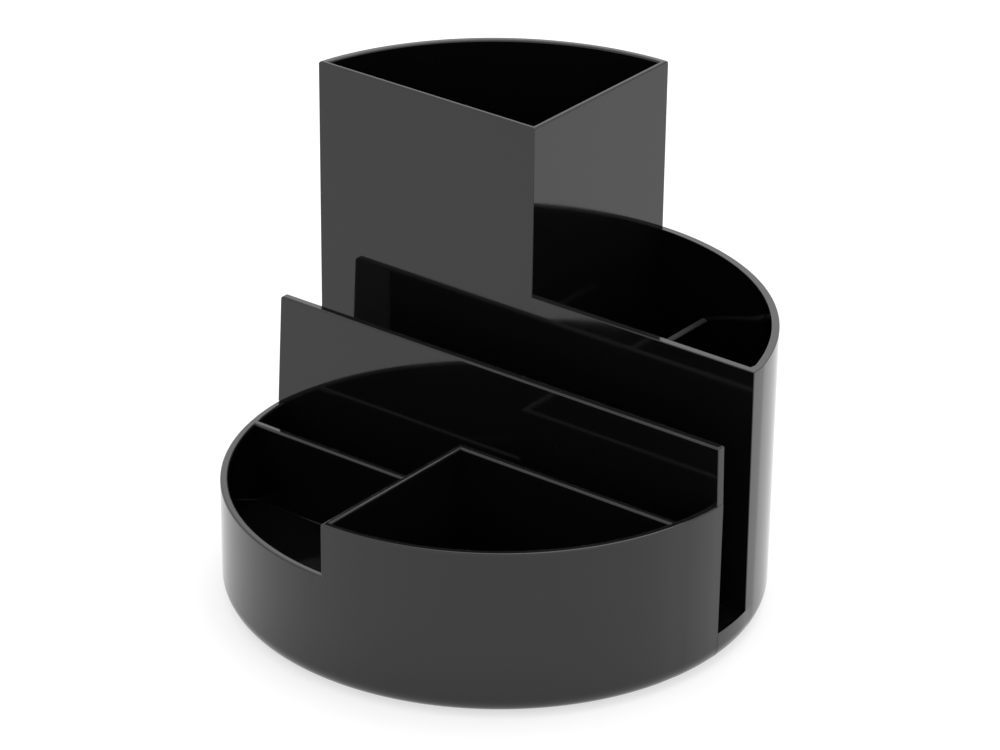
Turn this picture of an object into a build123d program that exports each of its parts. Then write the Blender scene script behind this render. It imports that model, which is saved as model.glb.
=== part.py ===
"""Round desk organizer: letter slot, pen tower, rear bin and front tray on one base plate.

Frame: X runs along the letter slot, +Y points to the back, +Z up. The origin is the
centre of the round footprint, on the desk. Millimetres.
"""

import os
from math import radians, tan

from build123d import *

# ---------------------------------------------------------------- driving dimensions
RIM_DIAMETER = 140.0  # outside, at the rim of the pen tower
TOWER_HEIGHT = 120.5
BIN_HEIGHT = 74.7
PANEL_HEIGHT = 61.0
TRAY_HIGH = 45.2  # rim of the front right corner compartment
TRAY_LOW = 30.9  # rim of the front left compartment
DIVIDER_HEIGHT = 55.3
FLOOR_HEIGHT = 9.1  # inside floor of every compartment and of the slot

WALL = 2.0
DRAFT = 0.52  # lean of the round wall, degrees, wider at the top
BASE_EDGE = 5.0  # radius of the rounded edge at the foot of the wall
RIM_ROUND = 0.5
SLOT_WIDTH = 13.9
PANEL_THICKNESS = 2.4
PANEL_LEAN_LEFT = 1.5  # how far the panel's left end stands in from the wall at its top
PANEL_LEAN_RIGHT = 0.4
CROSS_WALL_Y = -15.4  # middle of the wall behind the two front compartments
SIDE_WALL = 1.5  # wall between the two front compartments
TOWER_SIDE = 1.4  # the pen tower's two flat sides
DIVIDER_X = 17.2
DIVIDER_THICKNESS = 1.8

FLANGE_RADIUS = 60.0  # inner edge of the turned-in foot of the wall
WALL_FOOT = 0.5  # the wall's foot clears the desk by this much
PLATE_CLEARANCE = 0.2
PLATE_BOTTOM = 0.8
PLATE_THICKNESS = 2.0

PEG_DIAMETER = 5.0
SPIGOT_DIAMETER = 3.0
SPIGOT_CLEARANCE = 0.05
PEG_CIRCLE = 50.0
FRONT_PEG_ANGLES = (200, 240, 300, 340)
BIN_PEG_ANGLES = (20, 60)
TOWER_PEG_ANGLES = (120, 160)
SLOT_PEG = (-PEG_CIRCLE, SLOT_WIDTH / 2)

TAB_WIDTH = 12.0
TAB_DEPTH = 3.4  # how far a tab reaches below the top of the floor
PANEL_TAB_SPACING = 44.0
DIVIDER_TAB_YS = (28.0, 52.0)

FOOT_DIAMETER = 10.0
FOOT_POCKET = 10.4
FOOT_POCKET_DEPTH = 0.8
FOOT_CIRCLE = 50.0
FEET = {
    "foot_rear_right": 45,
    "foot_rear_left": 135,
    "foot_front_left": 225,
    "foot_front_right": 315,
}

# ---------------------------------------------------------------- derived dimensions
FLOOR_BOTTOM = FLOOR_HEIGHT - WALL
PLATE_TOP = PLATE_BOTTOM + PLATE_THICKNESS
PLATE_RADIUS = FLANGE_RADIUS - PLATE_CLEARANCE
REACH = RIM_DIAMETER  # longer than anything in the organizer


def wall_radius(height):
    """Outside radius of the round wall at a height."""
    return RIM_DIAMETER / 2 - (TOWER_HEIGHT - height) * tan(radians(DRAFT))


def wall_section(top):
    """Section of the round wall from its turned-in foot to a rim, right of the Z axis."""
    flange_height = WALL_FOOT + WALL
    with BuildSketch(Plane.XZ) as section:
        with BuildLine():
            Polyline(
                (FLANGE_RADIUS, WALL_FOOT),
                (wall_radius(WALL_FOOT), WALL_FOOT),
                (wall_radius(top), top),
                (wall_radius(top) - WALL, top),
                (wall_radius(flange_height) - WALL, flange_height),
                (FLANGE_RADIUS, flange_height),
                close=True,
            )
        make_face()
        outer_corner = section.vertices().group_by(Axis.Y)[0].sort_by(Axis.X)[-1]
        fillet(outer_corner, BASE_EDGE)
        flange_top = section.edges().filter_by(Axis.X).sort_by(Axis.Y)[1]
        fillet(flange_top.vertices().sort_by(Axis.X)[-1], BASE_EDGE - WALL)
    return section.sketch


def core_section(inset):
    """Half section of the space inside the round wall, less an inset, full height."""
    with BuildSketch(Plane.XZ) as section:
        with BuildLine():
            Polyline(
                (0, 0),
                (wall_radius(0) - inset, 0),
                (wall_radius(TOWER_HEIGHT) - inset, TOWER_HEIGHT),
                (0, TOWER_HEIGHT),
                close=True,
            )
        make_face()
    return section.sketch


def plan_rectangle(x_low, x_high, y_low, y_high, height=0.0):
    """Rectangle between four limits, on the level plane at a height."""
    with BuildSketch(Plane.XY.offset(height)) as plan:
        with Locations(((x_low + x_high) / 2, (y_low + y_high) / 2)):
            Rectangle(x_high - x_low, y_high - y_low)
    return plan.sketch


def discs(places, diameter, height):
    """Equal discs at (x, y) places, on the level plane at a height."""
    with BuildSketch(Plane.XY.offset(height)) as plan:
        with Locations(*places):
            Circle(diameter / 2)
    return plan.sketch


def on_circle(radius, angles):
    """Places at the given angles on a circle about the Z axis."""
    turns = [Vector(radius, 0).rotate(Axis.Z, angle) for angle in angles]
    return [(turn.X, turn.Y) for turn in turns]


def rim_edges(piece, height):
    """Edges of a piece that lie level at a height."""
    return piece.edges().filter_by_position(Axis.Z, height - 0.01, height + 0.01)


FRONT_PEGS = on_circle(PEG_CIRCLE, FRONT_PEG_ANGLES)
BIN_PEGS = on_circle(PEG_CIRCLE, BIN_PEG_ANGLES) + [SLOT_PEG]
TOWER_PEGS = on_circle(PEG_CIRCLE, TOWER_PEG_ANGLES)
FOOT_PLACES = on_circle(FOOT_CIRCLE, FEET.values())
PANEL_TABS = [(x, -PANEL_THICKNESS / 2) for x in (-PANEL_TAB_SPACING, 0, PANEL_TAB_SPACING)]
DIVIDER_TABS = [(DIVIDER_X, y) for y in DIVIDER_TAB_YS]

# ---------------------------------------------------------------- round wall of the tray
# The front half of the wall, low on the left and high on the right. The tray is built
# on it, and the note panel is cut to sit on its rim.
with BuildPart() as tray_wall:
    revolve(wall_section(TRAY_HIGH), axis=Axis.Z)
    split(bisect_by=Plane.XZ, keep=Keep.TOP)
    extrude(
        plan_rectangle(-REACH, 0, -REACH, REACH, TRAY_LOW), amount=REACH, mode=Mode.SUBTRACT
    )

# ---------------------------------------------------------------- note panel
# Flat plate in front of the slot. Its shoulders sit on the tray's rim, flush with the
# round wall, and its ends lean in from there. Three tabs go down through the tray's floor.
with BuildPart() as note_panel:
    extrude(
        plan_rectangle(-REACH, REACH, -PANEL_THICKNESS, 0, FLOOR_HEIGHT),
        amount=PANEL_HEIGHT - FLOOR_HEIGHT,
    )
    revolve(core_section(0), axis=Axis.Z, mode=Mode.INTERSECT)
    with BuildSketch(Plane.XZ):
        with BuildLine():
            Polyline(
                (-wall_radius(TRAY_LOW), FLOOR_HEIGHT),
                (-wall_radius(TRAY_LOW), TRAY_LOW),
                (PANEL_LEAN_LEFT - wall_radius(PANEL_HEIGHT), PANEL_HEIGHT),
                (wall_radius(PANEL_HEIGHT) - PANEL_LEAN_RIGHT, PANEL_HEIGHT),
                (wall_radius(TRAY_HIGH), TRAY_HIGH),
                (wall_radius(TRAY_HIGH), FLOOR_HEIGHT),
                close=True,
            )
        make_face()
    extrude(amount=PANEL_THICKNESS, mode=Mode.INTERSECT)
    add(tray_wall.part, mode=Mode.SUBTRACT)
    with BuildSketch(Plane.XY.offset(FLOOR_HEIGHT - TAB_DEPTH)):
        with Locations(*PANEL_TABS):
            Rectangle(TAB_WIDTH, PANEL_THICKNESS)
    extrude(amount=TAB_DEPTH)
    fillet(rim_edges(note_panel, PANEL_HEIGHT), RIM_ROUND)
note_panel.part.label = "note_panel"

# ---------------------------------------------------------------- front tray
# Front half of the round body: floor, cross wall and the corner compartment's side wall.
with BuildPart() as front_tray:
    extrude(plan_rectangle(-REACH, REACH, -REACH, 0, FLOOR_BOTTOM), amount=WALL)
    cross_wall = plan_rectangle(
        -REACH, REACH, CROSS_WALL_Y - WALL / 2, CROSS_WALL_Y + WALL / 2, FLOOR_HEIGHT
    )
    extrude(cross_wall, amount=TRAY_HIGH - FLOOR_HEIGHT)
    side_wall = plan_rectangle(0, SIDE_WALL, -REACH, CROSS_WALL_Y, FLOOR_HEIGHT)
    extrude(side_wall, amount=TRAY_HIGH - FLOOR_HEIGHT)
    revolve(core_section(WALL / 2), axis=Axis.Z, mode=Mode.INTERSECT)
    extrude(
        plan_rectangle(-REACH, 0, -REACH, REACH, TRAY_LOW), amount=REACH, mode=Mode.SUBTRACT
    )
    add(tray_wall.part)
    with BuildSketch(Plane.XY.offset(FLOOR_BOTTOM)):
        with Locations(*PANEL_TABS):
            Rectangle(TAB_WIDTH, PANEL_THICKNESS)
    extrude(amount=WALL, mode=Mode.SUBTRACT)
    extrude(discs(FRONT_PEGS, PEG_DIAMETER, PLATE_TOP), amount=FLOOR_BOTTOM - PLATE_TOP)
    extrude(discs(FRONT_PEGS, SPIGOT_DIAMETER, PLATE_BOTTOM), amount=PLATE_THICKNESS)
    for rim in (TRAY_HIGH, TRAY_LOW):
        # the rim's two ends at the slot stay square, under the panel's shoulders
        free_edges = rim_edges(front_tray, rim).filter_by_position(Axis.Y, -REACH, -WALL)
        fillet(free_edges, RIM_ROUND)
front_tray.part.label = "front_tray"

# ---------------------------------------------------------------- bin divider
# Low plate across the rear bin, held by two tabs through the bin's floor.
with BuildPart() as bin_divider:
    extrude(
        plan_rectangle(
            DIVIDER_X - DIVIDER_THICKNESS / 2,
            DIVIDER_X + DIVIDER_THICKNESS / 2,
            SLOT_WIDTH + WALL,
            REACH,
            FLOOR_HEIGHT,
        ),
        amount=DIVIDER_HEIGHT - FLOOR_HEIGHT,
    )
    revolve(core_section(WALL), axis=Axis.Z, mode=Mode.INTERSECT)
    with BuildSketch(Plane.XY.offset(FLOOR_HEIGHT - TAB_DEPTH)):
        with Locations(*DIVIDER_TABS):
            Rectangle(DIVIDER_THICKNESS, TAB_WIDTH)
    extrude(amount=TAB_DEPTH)
    fillet(rim_edges(bin_divider, DIVIDER_HEIGHT), RIM_ROUND)
bin_divider.part.label = "bin_divider"

# ---------------------------------------------------------------- rear bin
# Right rear quarter with the slot's floor, which runs on to the left end of the slot.
with BuildPart() as rear_bin:
    extrude(plan_rectangle(-REACH, REACH, 0, REACH, FLOOR_BOTTOM), amount=WALL)
    back_wall = plan_rectangle(0, REACH, SLOT_WIDTH, SLOT_WIDTH + WALL, FLOOR_HEIGHT)
    extrude(back_wall, amount=BIN_HEIGHT - FLOOR_HEIGHT)
    revolve(core_section(WALL / 2), axis=Axis.Z, mode=Mode.INTERSECT)
    revolve(wall_section(BIN_HEIGHT), axis=Axis.Z)
    split(bisect_by=Plane.XZ, keep=Keep.BOTTOM)
    extrude(
        plan_rectangle(-REACH, REACH, 0, SLOT_WIDTH, FLOOR_HEIGHT),
        amount=REACH,
        mode=Mode.SUBTRACT,
    )
    extrude(plan_rectangle(-REACH, 0, SLOT_WIDTH, REACH), amount=REACH, mode=Mode.SUBTRACT)
    with BuildSketch(Plane.XY.offset(FLOOR_BOTTOM)):
        with Locations(*DIVIDER_TABS):
            Rectangle(DIVIDER_THICKNESS, TAB_WIDTH)
    extrude(amount=WALL, mode=Mode.SUBTRACT)
    extrude(discs(BIN_PEGS, PEG_DIAMETER, PLATE_TOP), amount=FLOOR_BOTTOM - PLATE_TOP)
    extrude(discs(BIN_PEGS, SPIGOT_DIAMETER, PLATE_BOTTOM), amount=PLATE_THICKNESS)
    fillet(rim_edges(rear_bin, BIN_HEIGHT), RIM_ROUND)
rear_bin.part.label = "rear_bin"

# ---------------------------------------------------------------- pen tower
# Left rear quarter, a full-height cup. Its right side closes the rear bin.
with BuildPart() as pen_tower:
    extrude(plan_rectangle(-REACH, 0, SLOT_WIDTH, REACH, FLOOR_BOTTOM), amount=WALL)
    front_side = plan_rectangle(
        -REACH, 0, SLOT_WIDTH, SLOT_WIDTH + TOWER_SIDE, FLOOR_HEIGHT
    )
    extrude(front_side, amount=TOWER_HEIGHT - FLOOR_HEIGHT)
    right_side = plan_rectangle(-TOWER_SIDE, 0, SLOT_WIDTH, REACH, FLOOR_HEIGHT)
    extrude(right_side, amount=TOWER_HEIGHT - FLOOR_HEIGHT)
    revolve(core_section(WALL / 2), axis=Axis.Z, mode=Mode.INTERSECT)
    revolve(wall_section(TOWER_HEIGHT), axis=Axis.Z)
    split(bisect_by=Plane.XZ.offset(-SLOT_WIDTH), keep=Keep.BOTTOM)
    split(bisect_by=Plane.YZ, keep=Keep.BOTTOM)
    extrude(discs(TOWER_PEGS, PEG_DIAMETER, PLATE_TOP), amount=FLOOR_BOTTOM - PLATE_TOP)
    extrude(discs(TOWER_PEGS, SPIGOT_DIAMETER, PLATE_BOTTOM), amount=PLATE_THICKNESS)
    fillet(rim_edges(pen_tower, TOWER_HEIGHT), RIM_ROUND)
pen_tower.part.label = "pen_tower"

# ---------------------------------------------------------------- base plate
# Round plate inside the turned-in foot. The spigots of the three upper mouldings pass
# through it and are pressed flat, and the feet sit in four pockets underneath.
with BuildPart() as base_plate:
    extrude(discs([(0, 0)], 2 * PLATE_RADIUS, PLATE_BOTTOM), amount=PLATE_THICKNESS)
    spigot_holes = discs(
        FRONT_PEGS + BIN_PEGS + TOWER_PEGS, SPIGOT_DIAMETER + 2 * SPIGOT_CLEARANCE, PLATE_BOTTOM
    )
    extrude(spigot_holes, amount=PLATE_THICKNESS, mode=Mode.SUBTRACT)
    extrude(
        discs(FOOT_PLACES, FOOT_POCKET, PLATE_BOTTOM), amount=FOOT_POCKET_DEPTH, mode=Mode.SUBTRACT
    )
base_plate.part.label = "base_plate"

# ---------------------------------------------------------------- write the pieces
pieces = [front_tray, note_panel, rear_bin, bin_divider, pen_tower, base_plate]
os.makedirs("parts", exist_ok=True)
for piece in pieces:
    export_step(piece.part, f"parts/{piece.part.label}.step")

# Rubber feet: each a low disc with a rounded lower edge, from its pocket to the desk.
for name, place in zip(FEET, FOOT_PLACES):
    with BuildPart() as foot:
        extrude(discs([place], FOOT_DIAMETER, 0), amount=PLATE_BOTTOM + FOOT_POCKET_DEPTH)
        fillet(foot.edges().group_by(Axis.Z)[0], RIM_ROUND)
    foot.part.label = name
    export_step(foot.part, f"parts/{name}.step")
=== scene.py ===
from math import atan2, copysign, cos, degrees, hypot, pi, radians, sin, sqrt, tan

import bmesh
import bpy
from mathutils import Matrix, Vector


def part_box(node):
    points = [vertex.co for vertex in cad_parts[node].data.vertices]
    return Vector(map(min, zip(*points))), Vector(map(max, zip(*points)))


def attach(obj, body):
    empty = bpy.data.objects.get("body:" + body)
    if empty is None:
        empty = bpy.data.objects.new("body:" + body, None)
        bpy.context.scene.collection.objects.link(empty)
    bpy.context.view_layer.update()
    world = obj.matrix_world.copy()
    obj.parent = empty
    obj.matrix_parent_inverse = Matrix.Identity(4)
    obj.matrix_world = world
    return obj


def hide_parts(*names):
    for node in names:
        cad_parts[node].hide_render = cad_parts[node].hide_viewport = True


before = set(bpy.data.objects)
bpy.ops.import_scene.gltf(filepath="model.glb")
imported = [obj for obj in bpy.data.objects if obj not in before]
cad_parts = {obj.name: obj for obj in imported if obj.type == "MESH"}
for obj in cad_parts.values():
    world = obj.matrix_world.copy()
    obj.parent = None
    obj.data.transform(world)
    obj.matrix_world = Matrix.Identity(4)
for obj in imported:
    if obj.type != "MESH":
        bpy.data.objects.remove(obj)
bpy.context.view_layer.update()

# ---------------------------------------------------------------- pen tower
# The tall quarter-round cup at the left rear, injection moulded in glossy black
# polystyrene. Its two flat sides are mirror smooth and its round side leans out slightly.
# It is glued to the rear bin and stands on the base plate on pegs.
MM = 0.001
HAIR = 0.0001 * MM  # a cut passes through points that lie this near to it
TOUCH = 0.001 * MM  # places nearer than this are one place
NEAR_WALL = 0.02 * MM
SAME_ANGLE = 0.1  # degrees

tower_low, tower_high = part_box("pen_tower")
tower_top = tower_high.z
slot_back = tower_low.y
bin_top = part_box("rear_bin")[1].z
wall_foot = tower_low.z
base_plate_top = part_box("base_plate")[1].z

WALL = 2.0 * MM
TOWER_SIDE = 1.4 * MM
DRAFT = radians(0.52)
FOOT_EDGE = 5.0 * MM
FOOT_EDGE_STEPS = 8
ROUND_STEPS = 240
FLANGE_RADIUS = 60.0 * MM
DECK_BOTTOM = 7.1 * MM
FLOOR = DECK_BOTTOM + WALL
RIM_ROUND = 0.5 * MM
FLOOR_ROUND = 0.3 * MM
CORNER_ROUND = 0.2 * MM
SEAM_EASE = 0.4 * MM
ROUND_SEGMENTS = 4
CRISP = radians(28)  # edges that turn more than this get rounded
SHARP = radians(40)  # and those that still turn more than this stay creases in the shading
FLAT = 0.99995  # a face whose normal is this close to an axis belongs to a flat side
PEG_RADIUS = 2.5 * MM
SPIGOT_RADIUS = 1.5 * MM
SPIGOT_LENGTH = 2.0 * MM
PEG_OVERLAP = 0.1 * MM
PEG_FACETS = 32
PEG_CIRCLE = 50.0 * MM
TOWER_PEG_ANGLES = (120, 160)
REAR_WALL_ENDS = (12, 13.5, 88.5)
UP = (0, 0, 1)
BACKWARDS = (0, 1, 0)
TO_THE_RIGHT = (1, 0, 0)


def wall_radius(height):
    """Outside radius of the round wall, which leans out towards the top."""
    return tower_high.y - (tower_top - height) * tan(DRAFT)


def turned_body(top, left_out):
    """Whole round body up to a height, with a rim ring marked out on its top. Its outline
    has a point every few degrees, but none at the angles left out, where walls will end."""
    quarter = [pi / 2 * i / FOOT_EDGE_STEPS for i in range(FOOT_EDGE_STEPS + 1)]
    outer = wall_radius(wall_foot + FOOT_EDGE)
    centre = (outer - FOOT_EDGE, wall_foot + FOOT_EDGE)
    inner_edge = FOOT_EDGE - WALL
    profile = [(0, DECK_BOTTOM), (wall_radius(DECK_BOTTOM) - WALL, DECK_BOTTOM)]
    profile += [
        (centre[0] + inner_edge * cos(a), centre[1] - inner_edge * sin(a)) for a in quarter
    ]
    profile += [(FLANGE_RADIUS, wall_foot + WALL), (FLANGE_RADIUS, wall_foot)]
    profile += [
        (centre[0] + FOOT_EDGE * sin(a), centre[1] - FOOT_EDGE * cos(a)) for a in quarter
    ]
    profile += [(wall_radius(top), top), (wall_radius(top) - WALL, top), (0, top)]
    bm = bmesh.new()
    verts = [bm.verts.new((r, 0, z)) for r, z in profile]
    edges = [bm.edges.new(pair) for pair in zip(verts, verts[1:])]
    bmesh.ops.spin(
        bm, geom=verts + edges, axis=UP, cent=(0, 0, 0),
        angle=2 * pi, steps=ROUND_STEPS, use_merge=True,
    )
    bmesh.ops.remove_doubles(bm, verts=bm.verts, dist=TOUCH)
    for level in (top, DECK_BOTTOM):
        fan = [
            f for f in bm.faces
            if all(abs(v.co.z - level) < HAIR for v in f.verts)
            and min(hypot(v.co.x, v.co.y) for v in f.verts) < MM
        ]
        bmesh.ops.dissolve_faces(bm, faces=fan)
    spare = []
    for e in bm.edges:
        first, second = (degrees(atan2(abs(v.co.y), abs(v.co.x))) for v in e.verts)
        upright = abs(first - second) < SAME_ANGLE
        if upright and any(abs(first - angle) < SAME_ANGLE for angle in left_out):
            spare.append(e)
    bmesh.ops.dissolve_edges(bm, edges=spare, use_verts=True)
    bmesh.ops.recalc_face_normals(bm, faces=bm.faces)
    return bm


def split(bm, point, normal, clear_outer=False):
    """Divides the whole mesh along a plane; what lies on the normal's side may go."""
    whole = bm.verts[:] + bm.edges[:] + bm.faces[:]
    return bmesh.ops.bisect_plane(
        bm, geom=whole, plane_co=point, plane_no=normal, dist=HAIR, clear_outer=clear_outer
    )


def cut_away(bm, point, normal):
    """Removes what lies on the normal's side of a plane and closes the cut."""
    cut = split(bm, point, normal, clear_outer=True)
    edges = [g for g in cut["geom_cut"] if isinstance(g, bmesh.types.BMEdge)]
    bmesh.ops.edgeloop_fill(bm, edges=edges)


def score(bm, faces, point, normal):
    """Divides some faces along a plane and gives back all the faces they became."""
    faces = list(faces)
    geom = set(faces)
    for f in faces:
        geom.update(f.edges)
        geom.update(f.verts)
    cut = bmesh.ops.bisect_plane(
        bm, geom=list(geom), plane_co=point, plane_no=normal, dist=HAIR
    )
    return [g for g in cut["geom"] if isinstance(g, bmesh.types.BMFace) and g.is_valid]


def move_faces(bm, faces, height):
    """Draws a patch of level faces up or down to a height, with walls round its edge."""
    made = bmesh.ops.extrude_face_region(bm, geom=list(faces))
    verts = [g for g in made["geom"] if isinstance(g, bmesh.types.BMVert)]
    bmesh.ops.delete(bm, geom=[f for f in faces if f.is_valid], context="FACES")
    for v in verts:
        v.co.z = height
    return verts


def lean(verts, from_height, straight_x=(), straight_y=()):
    """Brings points of the round wall, drawn at one height, to its radius at their own.
    Points on a straight wall slide along it."""
    for v in verts:
        radius = hypot(v.co.x, v.co.y)
        for inset in (0, WALL):
            if abs(radius - (wall_radius(from_height) - inset)) > NEAR_WALL:
                continue
            new = wall_radius(v.co.z) - inset
            if any(abs(v.co.y - y) < TOUCH for y in straight_y):
                v.co.x = copysign(sqrt(new**2 - v.co.y**2), v.co.x)
            elif any(abs(v.co.x - x) < TOUCH for x in straight_x):
                v.co.y = copysign(sqrt(new**2 - v.co.x**2), v.co.y)
            else:
                v.co.x *= new / radius
                v.co.y *= new / radius
            break


def round_edges(bm, chosen, width, worn_and_sheen=1.0):
    """Rounds the crisp edges that pass a test, and marks the rounds with their wear; the
    material dulls the marked rounds and also lightens their colour as a painted highlight.
    """
    wear_and_sheen = bm.faces.layers.float.get("wear_and_sheen") or bm.faces.layers.float.new("wear_and_sheen")
    crisp = [
        e for e in bm.edges
        if len(e.link_faces) == 2 and e.calc_face_angle() > CRISP and chosen(e)
    ]
    made = bmesh.ops.bevel(
        bm, geom=crisp, offset=width, offset_type="OFFSET", affect="EDGES",
        segments=ROUND_SEGMENTS, profile=0.5, material=-1, clamp_overlap=False,
        miter_outer="ARC",
    )
    for f in made["faces"]:
        f[wear_and_sheen] = worn_and_sheen


def is_level(edge, height):
    """Whether an edge lies level at a height."""
    return all(abs(v.co.z - height) < TOUCH for v in edge.verts)


def round_moulding(bm, rims, keep_square=lambda edge: False, rim_wear_and_sheen=1.0):
    """Rounds rims, the inside edges of the floors and then every corner that is left."""
    def is_rim(e):
        return e.is_convex and any(is_level(e, z) for z in rims) and not keep_square(e)

    def is_floor_edge(e):
        return not e.is_convex and is_level(e, FLOOR) and not keep_square(e)

    def is_corner(e):
        return e.is_convex and not keep_square(e)

    # rims and corners get the wear mark, which also carries a painted highlight; the floor
    # edges get none
    round_edges(bm, is_rim, RIM_ROUND, rim_wear_and_sheen)
    round_edges(bm, is_floor_edge, FLOOR_ROUND, worn_and_sheen=0.0)
    round_edges(bm, is_corner, CORNER_ROUND)


def add_pegs(bm, places):
    """Pegs under the floor, each with a spigot whose end is pressed flat."""
    for x, y in places:
        for radius, low, high in (
            (PEG_RADIUS, base_plate_top, DECK_BOTTOM + PEG_OVERLAP),
            (SPIGOT_RADIUS, base_plate_top - SPIGOT_LENGTH, base_plate_top + PEG_OVERLAP),
        ):
            bmesh.ops.create_cone(
                bm, cap_ends=True, cap_tris=False, segments=PEG_FACETS, radius1=radius,
                radius2=radius, depth=high - low,
                matrix=Matrix.Translation((x, y, (low + high) / 2)),
            )


def on_circle(radius, angles):
    """Places at some angles, in degrees, on a circle about the organizer's centre."""
    return [(radius * cos(radians(a)), radius * sin(radians(a))) for a in angles]


def finished_piece(name, bm):
    """Makes the mesh an object whose flat sides are truly flat and whose rounds are smooth."""
    mesh = bpy.data.meshes.new(name)
    bmesh.ops.dissolve_degenerate(bm, dist=HAIR, edges=bm.edges)
    bmesh.ops.recalc_face_normals(bm, faces=bm.faces)
    bm.to_mesh(mesh)
    bm.free()
    mesh.set_sharp_from_angle(angle=SHARP)
    for face in mesh.polygons:
        face.use_smooth = max(abs(n) for n in face.normal) < FLAT
    piece = bpy.data.objects.new(name, mesh)
    bpy.context.scene.collection.objects.link(piece)
    normals = piece.modifiers.new("even rounds", "WEIGHTED_NORMAL")
    normals.keep_sharp = True
    normals.weight = 100
    return piece


def new_material(name):
    """An empty node material, with its shader, node maker and link maker."""
    material = bpy.data.materials.new(name)
    material.use_nodes = True
    nodes = material.node_tree.nodes
    return material, nodes["Principled BSDF"], nodes.new, material.node_tree.links.new


def noise(new, link, place, scale, detail, stretch=(1, 1, 1), turn=(0, 0, 0)):
    """Noise in the piece's own coordinates, stretched and turned if wanted."""
    mapping = new("ShaderNodeMapping")
    mapping.inputs["Scale"].default_value = stretch
    mapping.inputs["Rotation"].default_value = turn
    link(place.outputs["Object"], mapping.inputs["Vector"])
    node = new("ShaderNodeTexNoise")
    node.inputs["Scale"].default_value = scale
    node.inputs["Detail"].default_value = detail
    node.inputs["Roughness"].default_value = 0.6
    link(mapping.outputs["Vector"], node.inputs["Vector"])
    return node.outputs["Fac"]


def remap(new, link, value, low, high, to_low, to_high):
    """A value brought from one range to another, held at the ends."""
    node = new("ShaderNodeMapRange")
    node.inputs["From Min"].default_value = low
    node.inputs["From Max"].default_value = high
    node.inputs["To Min"].default_value = to_low
    node.inputs["To Max"].default_value = to_high
    link(value, node.inputs["Value"])
    return node.outputs["Result"]


def combine(new, link, operation, first, second):
    """Two values put together by a math operation; the second may be a plain number."""
    node = new("ShaderNodeMath")
    node.operation = operation
    link(first, node.inputs[0])
    if isinstance(second, (int, float)):
        node.inputs[1].default_value = second
    else:
        link(second, node.inputs[1])
    return node.outputs["Value"]


def mix_colour(new, link, amount, first, second):
    """Colour that goes from the first to the second as the amount grows; each is a
    colour or a socket. The mix node's colour sockets are found by their numbers."""
    first_socket, second_socket, result_socket = 6, 7, 2
    node = new("ShaderNodeMix")
    node.data_type = "RGBA"
    link(amount, node.inputs["Factor"])
    for number, colour in ((first_socket, first), (second_socket, second)):
        if isinstance(colour, tuple):
            node.inputs[number].default_value = (*colour, 1)
        else:
            link(colour, node.inputs[number])
    return node.outputs[result_socket]


def give_relief(new, link, shader, height):
    """Makes a height in metres show as fine relief."""
    bump = new("ShaderNodeBump")
    bump.inputs["Strength"].default_value = 1.0
    bump.inputs["Distance"].default_value = 1.0
    link(height, bump.inputs["Height"])
    link(bump.outputs["Normal"], shader.inputs["Normal"])


DEEP_BLACK = (0.0028, 0.0028, 0.0029)
PALE_BLACK = (0.0034, 0.0034, 0.0035)
# grey of the rounded edges: partly real rubbing, partly a painted highlight
RUBBED_SHEEN_GREY = (0.055, 0.055, 0.057)
DUST_GREY = (0.11, 0.105, 0.10)
POLYSTYRENE_IOR = 1.5
SINK_DEPTH = 0.08 * MM
SCRATCH_DEPTH = 0.0012 * MM
RUBBED_GRAIN = 0.012 * MM


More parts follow.
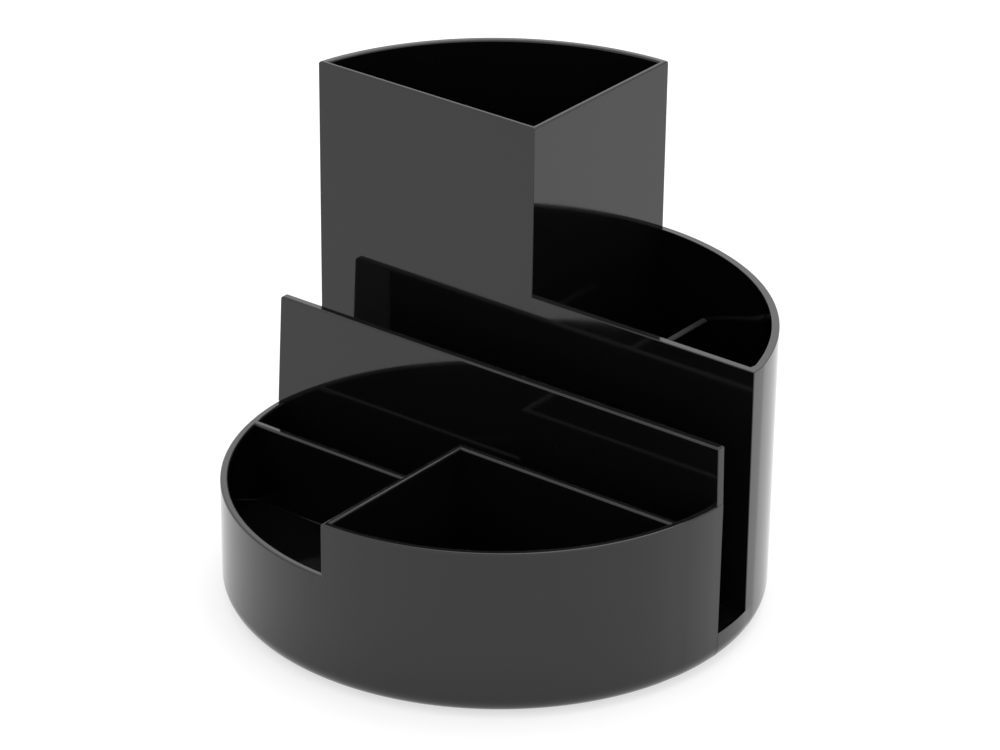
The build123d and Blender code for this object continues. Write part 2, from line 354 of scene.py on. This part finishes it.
def black_polystyrene(name):
    """Glossy black moulded polystyrene. Handling leaves smudges and hairline scratches,
    dust lies on the level faces and the rounded edges are rubbed dull; their colour is also
    lightened towards grey as a painted highlight."""
    material, shader, new, link = new_material(name)
    place = new("ShaderNodeTexCoord")
    worn_and_sheen = new("ShaderNodeAttribute")
    worn_and_sheen.attribute_name = "wear_and_sheen"

    # the rounded edges: real rubbing, which dulls and roughens them, and a painted highlight,
    # which lightens their colour
    rubbed_and_sheen = remap(new, link, noise(new, link, place, 190, 4), 0.35, 0.65, 0.55, 1.0)
    rubbed_and_sheen = combine(new, link, "MULTIPLY", rubbed_and_sheen, worn_and_sheen.outputs["Fac"])

    level = new("ShaderNodeSeparateXYZ")
    link(place.outputs["Normal"], level.inputs["Vector"])
    level = remap(new, link, level.outputs["Z"], 0.6, 1.0, 0.25, 1.0)
    specks = remap(new, link, noise(new, link, place, 1500, 2), 0.70, 0.76, 0.0, 1.0)
    patches = remap(new, link, noise(new, link, place, 28, 3), 0.4, 0.7, 0.15, 1.0)
    dust = combine(new, link, "MULTIPLY", specks, patches)
    dust = combine(new, link, "MULTIPLY", dust, level)

    pigment = remap(new, link, noise(new, link, place, 9, 2), 0.3, 0.7, 0.0, 1.0)
    colour = mix_colour(new, link, pigment, DEEP_BLACK, PALE_BLACK)
    # painted highlight: the rounded edges are lightened towards grey
    edge_sheen_amount = combine(new, link, "MULTIPLY", rubbed_and_sheen, 0.2)
    colour = mix_colour(new, link, edge_sheen_amount, colour, RUBBED_SHEEN_GREY)
    colour = mix_colour(new, link, dust, colour, DUST_GREY)
    link(colour, shader.inputs["Base Color"])

    smudge = remap(new, link, noise(new, link, place, 42, 5), 0.35, 0.75, 0.03, 0.10)
    wiped = noise(new, link, place, 26, 4, (1, 1, 0.12), (0.2, 0.1, 0))
    streak = remap(new, link, wiped, 0.45, 0.8, 0.0, 0.05)
    roughness = combine(new, link, "ADD", smudge, streak)
    dull_edge = combine(new, link, "MULTIPLY", rubbed_and_sheen, 0.22)
    roughness = combine(new, link, "ADD", roughness, dull_edge)
    dull_dust = combine(new, link, "MULTIPLY", dust, 0.3)
    roughness = combine(new, link, "ADD", roughness, dull_dust)
    link(roughness, shader.inputs["Roughness"])
    shader.inputs["IOR"].default_value = POLYSTYRENE_IOR

    sink = combine(new, link, "MULTIPLY", noise(new, link, place, 14, 1), SINK_DEPTH)
    scratch_along = noise(new, link, place, 420, 1, (1, 0.02, 0.02), (0.3, 0.5, 0.9))
    scratch_across = noise(new, link, place, 380, 1, (0.02, 1, 0.02), (0.8, 0.2, 0.4))
    lines = combine(
        new, link, "MAXIMUM",
        remap(new, link, scratch_along, 0.70, 0.74, 0.0, 1.0),
        remap(new, link, scratch_across, 0.71, 0.75, 0.0, 1.0),
    )
    depth = combine(new, link, "MULTIPLY", lines, -SCRATCH_DEPTH)
    grain = combine(new, link, "MULTIPLY", noise(new, link, place, 900, 3), RUBBED_GRAIN)
    grain = combine(new, link, "MULTIPLY", grain, rubbed_and_sheen)
    height = combine(new, link, "ADD", combine(new, link, "ADD", sink, depth), grain)
    give_relief(new, link, shader, height)
    return material


black_gloss = black_polystyrene("glossy_black_polystyrene")

bm = turned_body(tower_top, REAR_WALL_ENDS)
cut_away(bm, (0, slot_back, 0), (0, -1, 0))
cut_away(bm, (0, 0, 0), TO_THE_RIGHT)
top_faces = [f for f in bm.faces if abs(f.calc_center_median().z - tower_top) < TOUCH]
largest = max(top_faces, key=lambda f: f.calc_area())
front_inside = slot_back + TOWER_SIDE
patches = score(bm, [largest], (0, front_inside, 0), BACKWARDS)
patches = score(bm, patches, (-TOWER_SIDE, 0, 0), TO_THE_RIGHT)
inside = [
    f for f in patches
    if f.calc_center_median().y > front_inside and f.calc_center_median().x < -TOWER_SIDE
]
lean(move_faces(bm, inside, FLOOR), tower_top, (-TOWER_SIDE,), (front_inside,))
split(bm, (0, 0, bin_top), UP)


def at_seam(edge):
    """Edges where the tower and the bin meet without a gap, and the edges of a floor."""
    middle = (edge.verts[0].co + edge.verts[1].co) / 2
    beside_bin = middle.z < bin_top + TOUCH and middle.y < slot_back + WALL
    return abs(middle.x) < TOUCH and beside_bin or is_level(edge, FLOOR)


round_moulding(bm, (tower_top,), at_seam)
for level in (bin_top - SEAM_EASE, DECK_BOTTOM + SEAM_EASE):
    # the corner's rounding runs out within a short length, and the sides stay flat
    split(bm, (0, 0, level), UP)
    for v in bm.verts:
        if abs(v.co.z - level) < TOUCH and hypot(v.co.x, v.co.y - slot_back) < CORNER_ROUND:
            v.co.xy = 0, slot_back
add_pegs(bm, on_circle(PEG_CIRCLE, TOWER_PEG_ANGLES))
tower = finished_piece("pen_tower_shell", bm)
tower.data.materials.append(black_gloss)
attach(tower, "root")
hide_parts("pen_tower")

# ---------------------------------------------------------------- rear bin
# The right rear quarter with the floor and sills of the letter slot, one moulding. Its
# left side is open and the pen tower closes it.
BIN_PEG_ANGLES = (20, 60)
slot_middle = slot_back / 2

bm = turned_body(FLOOR, REAR_WALL_ENDS)
cut_away(bm, (0, 0, 0), (0, -1, 0))
split(bm, (0, slot_back, 0), BACKWARDS)
split(bm, (0, 0, 0), TO_THE_RIGHT)
under_tower = [
    f for f in bm.faces
    if f.calc_center_median().x < -TOUCH and f.calc_center_median().y > slot_back + TOUCH
]
bmesh.ops.delete(bm, geom=under_tower, context="FACES")
corner = [v for v in bm.verts if hypot(v.co.x, v.co.y - slot_back) < TOUCH]
upright = bm.edges.new(sorted(corner, key=lambda v: v.co.z))
for axis, place in (("x", 0), ("y", slot_back)):
    open_side = [
        e for e in bm.edges
        if (e.is_boundary or e == upright)
        and all(abs(getattr(v.co, axis) - place) < TOUCH for v in e.verts)
    ]
    bmesh.ops.edgeloop_fill(bm, edges=open_side)
bmesh.ops.recalc_face_normals(bm, faces=bm.faces)
deck = [
    f for f in bm.faces
    if abs(f.calc_center_median().z - FLOOR) < TOUCH
    and f.calc_center_median().x > 0 and f.calc_center_median().y > slot_back
]
middle = max(deck, key=lambda f: f.calc_area())
ring = [f for f in deck if f is not middle]
patches = score(bm, [middle], (0, slot_back + WALL, 0), BACKWARDS)
back_wall = [f for f in patches if f.calc_center_median().y < slot_back + WALL]
lean(move_faces(bm, ring + back_wall, bin_top), FLOOR, (0,), (slot_back, slot_back + WALL))
round_moulding(bm, (bin_top,), at_seam)
add_pegs(bm, on_circle(PEG_CIRCLE, BIN_PEG_ANGLES) + [(-PEG_CIRCLE, slot_middle)])
rear_bin = finished_piece("rear_bin_shell", bm)
rear_bin.data.materials.append(black_gloss)
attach(rear_bin, "root")
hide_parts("rear_bin")

# ---------------------------------------------------------------- bin divider
# Low plate that parts the rear bin, pressed into the bin's floor by two tabs.
divider_low, divider_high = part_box("bin_divider")
# wear so strong that the plate's top turns fully grey and dull: a painted highlight as well as
# rubbing
DIVIDER_SHEEN_AND_WEAR = 5.0
TOP_DEPTH = 0.1 * MM

bm = bmesh.new()
back_y = sqrt((wall_radius(FLOOR) - WALL) ** 2 - divider_high.x**2)
low = Vector((divider_low.x, slot_back + WALL, FLOOR))
high = Vector((divider_high.x, back_y, divider_high.z))
centre = (low + high) / 2
bmesh.ops.create_cube(bm, size=1)
bmesh.ops.scale(bm, vec=high - low, verts=bm.verts)
bmesh.ops.translate(bm, vec=centre, verts=bm.verts)
for v in bm.verts:
    if v.co.y > centre.y:
        v.co.y = sqrt((wall_radius(v.co.z) - WALL) ** 2 - v.co.x**2)
round_moulding(bm, (divider_high.z,), rim_wear_and_sheen=DIVIDER_SHEEN_AND_WEAR)
# the whole top of the plate gets the full painted highlight, lightened to grey, and is dulled
wear_and_sheen = bm.faces.layers.float["wear_and_sheen"]
for f in bm.faces:
    if f.calc_center_median().z > divider_high.z - TOP_DEPTH:
        f[wear_and_sheen] = DIVIDER_SHEEN_AND_WEAR
divider = finished_piece("bin_divider_plate", bm)
divider.data.materials.append(black_gloss)
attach(divider, "root")
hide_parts("bin_divider")

# ---------------------------------------------------------------- front tray
# The front half of the round body: floor, cross wall and the higher corner compartment
# at the right, in one moulding. A step in the rim marks the change of height.
tray_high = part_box("front_tray")[1].z
TRAY_LOW = 30.9 * MM
CROSS_FRONT = -16.4 * MM
SIDE_WALL = 1.5 * MM
CROSS_BACK = CROSS_FRONT + WALL
FRONT_PEG_ANGLES = (200, 240, 300, 340)
FRONT_WALL_ENDS = (1.5, 12, 13.5, 88.5)
panel_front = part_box("note_panel")[0].y

bm = turned_body(TRAY_LOW, FRONT_WALL_ENDS)
cut_away(bm, (0, 0, 0), BACKWARDS)
split(bm, (0, 0, 0), TO_THE_RIGHT)
level = [f for f in bm.faces if abs(f.calc_center_median().z - TRAY_LOW) < TOUCH]
middles = sorted(level, key=lambda f: f.calc_area())[-2:]
ring = [f for f in level if f not in middles]
patches = middles
for y in (CROSS_BACK, CROSS_FRONT):
    patches = score(bm, patches, (0, y, 0), BACKWARDS)
corner_patches = [f for f in patches if f.calc_center_median().y < CROSS_FRONT]
others = [f for f in patches if f not in corner_patches]
corner_patches = score(bm, corner_patches, (SIDE_WALL, 0, 0), TO_THE_RIGHT)


def where(faces, test):
    """The faces whose middle passes a test of x and y."""
    return [f for f in faces if test(*f.calc_center_median().xy)]


cross_wall = where(others, lambda x, y: y < CROSS_BACK)
side_wall = where(corner_patches, lambda x, y: 0 < x < SIDE_WALL)
long_floor = where(others, lambda x, y: y > CROSS_BACK)
left_floor = where(corner_patches, lambda x, y: x < 0)
right_floor = where(corner_patches, lambda x, y: x > SIDE_WALL)
straight_x, straight_y = (0, SIDE_WALL), (0, CROSS_BACK, CROSS_FRONT)
raised = where(ring + cross_wall + side_wall, lambda x, y: x > 0)
for floor_patch in (long_floor, left_floor, right_floor):
    lean(move_faces(bm, floor_patch, FLOOR), TRAY_LOW, straight_x, straight_y)
lean(move_faces(bm, raised, tray_high), TRAY_LOW, straight_x, straight_y)
bmesh.ops.recalc_face_normals(bm, faces=bm.faces)
split(bm, (0, panel_front, 0), BACKWARDS)


def under_panel(edge):
    """The ends of the tray's two rims, which carry the panel's shoulders."""
    middle = (edge.verts[0].co + edge.verts[1].co) / 2
    return middle.y > panel_front + TOUCH and middle.z > FLOOR + MM


round_moulding(bm, (TRAY_LOW, tray_high), under_panel)
add_pegs(bm, on_circle(PEG_CIRCLE, FRONT_PEG_ANGLES))
tray = finished_piece("front_tray_shell", bm)
tray.data.materials.append(black_gloss)
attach(tray, "root")
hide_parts("front_tray")

# ---------------------------------------------------------------- note panel
# Flat glossy plate in front of the slot. Its shoulders rest on the tray's two rims, flush
# with the round wall, and its ends lean in a little from there.
panel_low, panel_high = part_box("note_panel")
panel_top = panel_high.z
LEAN_LEFT = 1.5 * MM
LEAN_RIGHT = 0.4 * MM

bm = bmesh.new()
bmesh.ops.create_cube(bm, size=1)
for v in bm.verts:
    v.co.x = copysign(FLANGE_RADIUS, v.co.x)
    v.co.y = panel_low.y if v.co.y < 0 else 0
    v.co.z = FLOOR if v.co.z < 0 else panel_top
for height in (TRAY_LOW, tray_high):
    split(bm, (0, 0, height), UP)
for side, shoulder in ((-1, TRAY_LOW), (1, tray_high)):
    ends = [
        f for f in bm.faces
        if abs(f.normal.x) > 0.9 and f.calc_center_median().x * side > 0
        and f.calc_center_median().z > shoulder
    ]
    made = bmesh.ops.extrude_face_region(bm, geom=ends)
    bmesh.ops.delete(bm, geom=ends, context="FACES")
    for v in made["geom"]:
        if isinstance(v, bmesh.types.BMVert):
            v.co.x += side * WALL
for v in bm.verts:
    if abs(v.co.x) < FLANGE_RADIUS + MM:
        v.co.x = copysign(sqrt((wall_radius(v.co.z) - WALL) ** 2 - v.co.y**2), v.co.x)
        continue
    shoulder, lean_in = (TRAY_LOW, LEAN_LEFT) if v.co.x < 0 else (tray_high, LEAN_RIGHT)
    rise = (v.co.z - shoulder) / (panel_top - shoulder)
    foot = sqrt(wall_radius(shoulder) ** 2 - v.co.y**2)
    head = wall_radius(panel_top) - lean_in
    v.co.x = copysign(foot + rise * (head - foot), v.co.x)
bmesh.ops.recalc_face_normals(bm, faces=bm.faces)
round_moulding(bm, (panel_top,))
panel = finished_piece("note_panel_plate", bm)
panel.data.materials.append(black_gloss)
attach(panel, "root")
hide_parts("note_panel")

# ---------------------------------------------------------------- base plate and feet
# Satin plate inside the turned-in foot of the wall, with four stuck-on rubber feet.
SATIN_BLACK = (0.010, 0.010, 0.010)
SATIN_PALE = (0.016, 0.016, 0.0155)
SCUFF_GREY = (0.045, 0.044, 0.042)
SATIN_GRAIN = 0.03 * MM
RUBBER_BLACK = (0.022, 0.022, 0.021)
LINT_GREY = (0.13, 0.125, 0.12)
RUBBER_GRAIN = 0.04 * MM

satin, shader, new, link = new_material("satin_black_polystyrene")
place = new("ShaderNodeTexCoord")
blotches = remap(new, link, noise(new, link, place, 30, 4), 0.35, 0.7, 0.0, 1.0)
colour = mix_colour(new, link, blotches, SATIN_BLACK, SATIN_PALE)
slid = noise(new, link, place, 60, 5, (1, 0.1, 1), (0, 0, 0.6))
scuffs = remap(new, link, slid, 0.6, 0.75, 0.0, 0.6)
colour = mix_colour(new, link, scuffs, colour, SCUFF_GREY)
link(colour, shader.inputs["Base Color"])
link(remap(new, link, blotches, 0.0, 1.0, 0.34, 0.48), shader.inputs["Roughness"])
texture = combine(new, link, "MULTIPLY", noise(new, link, place, 1800, 3), SATIN_GRAIN)
give_relief(new, link, shader, texture)

rubber, shader, new, link = new_material("dark_rubber")
place = new("ShaderNodeTexCoord")
lint = remap(new, link, noise(new, link, place, 1300, 3), 0.60, 0.72, 0.0, 0.7)
colour = mix_colour(new, link, lint, RUBBER_BLACK, LINT_GREY)
link(colour, shader.inputs["Base Color"])
dull = remap(new, link, noise(new, link, place, 300, 3), 0.3, 0.7, 0.62, 0.85)
link(dull, shader.inputs["Roughness"])
skin = combine(new, link, "MULTIPLY", noise(new, link, place, 2500, 4), RUBBER_GRAIN)
give_relief(new, link, shader, skin)

for name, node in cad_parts.items():
    if name.startswith("foot_") or name == "base_plate":
        node.data.materials.clear()
        node.data.materials.append(satin if name == "base_plate" else rubber)

# ---------------------------------------------------------------- stage
# Pale seamless floor, white surround, broad soft lights and the camera.
FLOOR_RADIUS = 4.0
FLOOR_DROP = 0.01 * MM
FLOOR_GREY = (0.41, 0.41, 0.41)
FLOOR_PALE = (0.43, 0.43, 0.43)
FLOOR_GLOW = 0.63
SURROUND_GLOW = 1.04

bm = bmesh.new()
bmesh.ops.create_circle(bm, cap_ends=True, segments=64, radius=FLOOR_RADIUS)
bmesh.ops.translate(bm, vec=(0, 0, -FLOOR_DROP), verts=bm.verts)
floor_mesh = bpy.data.meshes.new("floor")
bm.to_mesh(floor_mesh)
bm.free()
floor = bpy.data.objects.new("floor", floor_mesh)
bpy.context.scene.collection.objects.link(floor)
light_table, shader, new, link = new_material("pale_light_table")
place = new("ShaderNodeTexCoord")
shade = remap(new, link, noise(new, link, place, 3, 2), 0.3, 0.7, 0.0, 1.0)
colour = mix_colour(new, link, shade, FLOOR_GREY, FLOOR_PALE)
link(colour, shader.inputs["Base Color"])
shader.inputs["Roughness"].default_value = 0.9
shader.inputs["Emission Color"].default_value = (1, 1, 1, 1)
shader.inputs["Emission Strength"].default_value = FLOOR_GLOW
floor.data.materials.append(light_table)

world = bpy.data.worlds.new("white_surround")
world.use_nodes = True
surround = world.node_tree.nodes["Background"]
surround.inputs["Color"].default_value = (1, 1, 1, 1)
surround.inputs["Strength"].default_value = SURROUND_GLOW
bpy.context.scene.world = world


def softbox(name, place, target, size, power):
    """A square soft light that faces a point."""
    light = bpy.data.lights.new(name, "AREA")
    light.size = size
    light.energy = power
    lamp = bpy.data.objects.new(name, light)
    lamp.location = place
    lamp.rotation_euler = (Vector(target) - Vector(place)).to_track_quat("-Z", "Y").to_euler()
    bpy.context.scene.collection.objects.link(lamp)
    return lamp


softbox("overhead_softbox", (0.1, 0.5, 1.6), (0, 0, 0.05), 1.2, 8)
softbox("back_softbox", (-1.36, 1.79, 1.15), (0, 0, 0.08), 1.6, 3.4)

# camera, off to the right and above
VIEW_AZIMUTH = radians(37.26)
VIEW_ELEVATION = radians(26.11)
VIEW_ROLL = radians(0.71)
VIEW_DISTANCE = 1.2375
VIEW_TARGET = Vector((1.4, -0.7, 59.3)) * MM
LENS = 179.5

camera_data = bpy.data.cameras.new("camera")
camera_data.lens = LENS
camera_data.sensor_width = 36
camera_data.clip_start = 0.05
camera = bpy.data.objects.new("camera", camera_data)
turn = (
    Matrix.Rotation(VIEW_AZIMUTH, 4, "Z")
    @ Matrix.Rotation(pi / 2 - VIEW_ELEVATION, 4, "X")
    @ Matrix.Rotation(VIEW_ROLL, 4, "Z")
)
away = Vector((
    sin(VIEW_AZIMUTH) * cos(VIEW_ELEVATION),
    -cos(VIEW_AZIMUTH) * cos(VIEW_ELEVATION),
    sin(VIEW_ELEVATION),
))
camera.matrix_world = Matrix.Translation(VIEW_TARGET + away * VIEW_DISTANCE) @ turn
bpy.context.scene.collection.objects.link(camera)
bpy.context.scene.camera = camera
bpy.context.scene.view_settings.view_transform = "Standard"
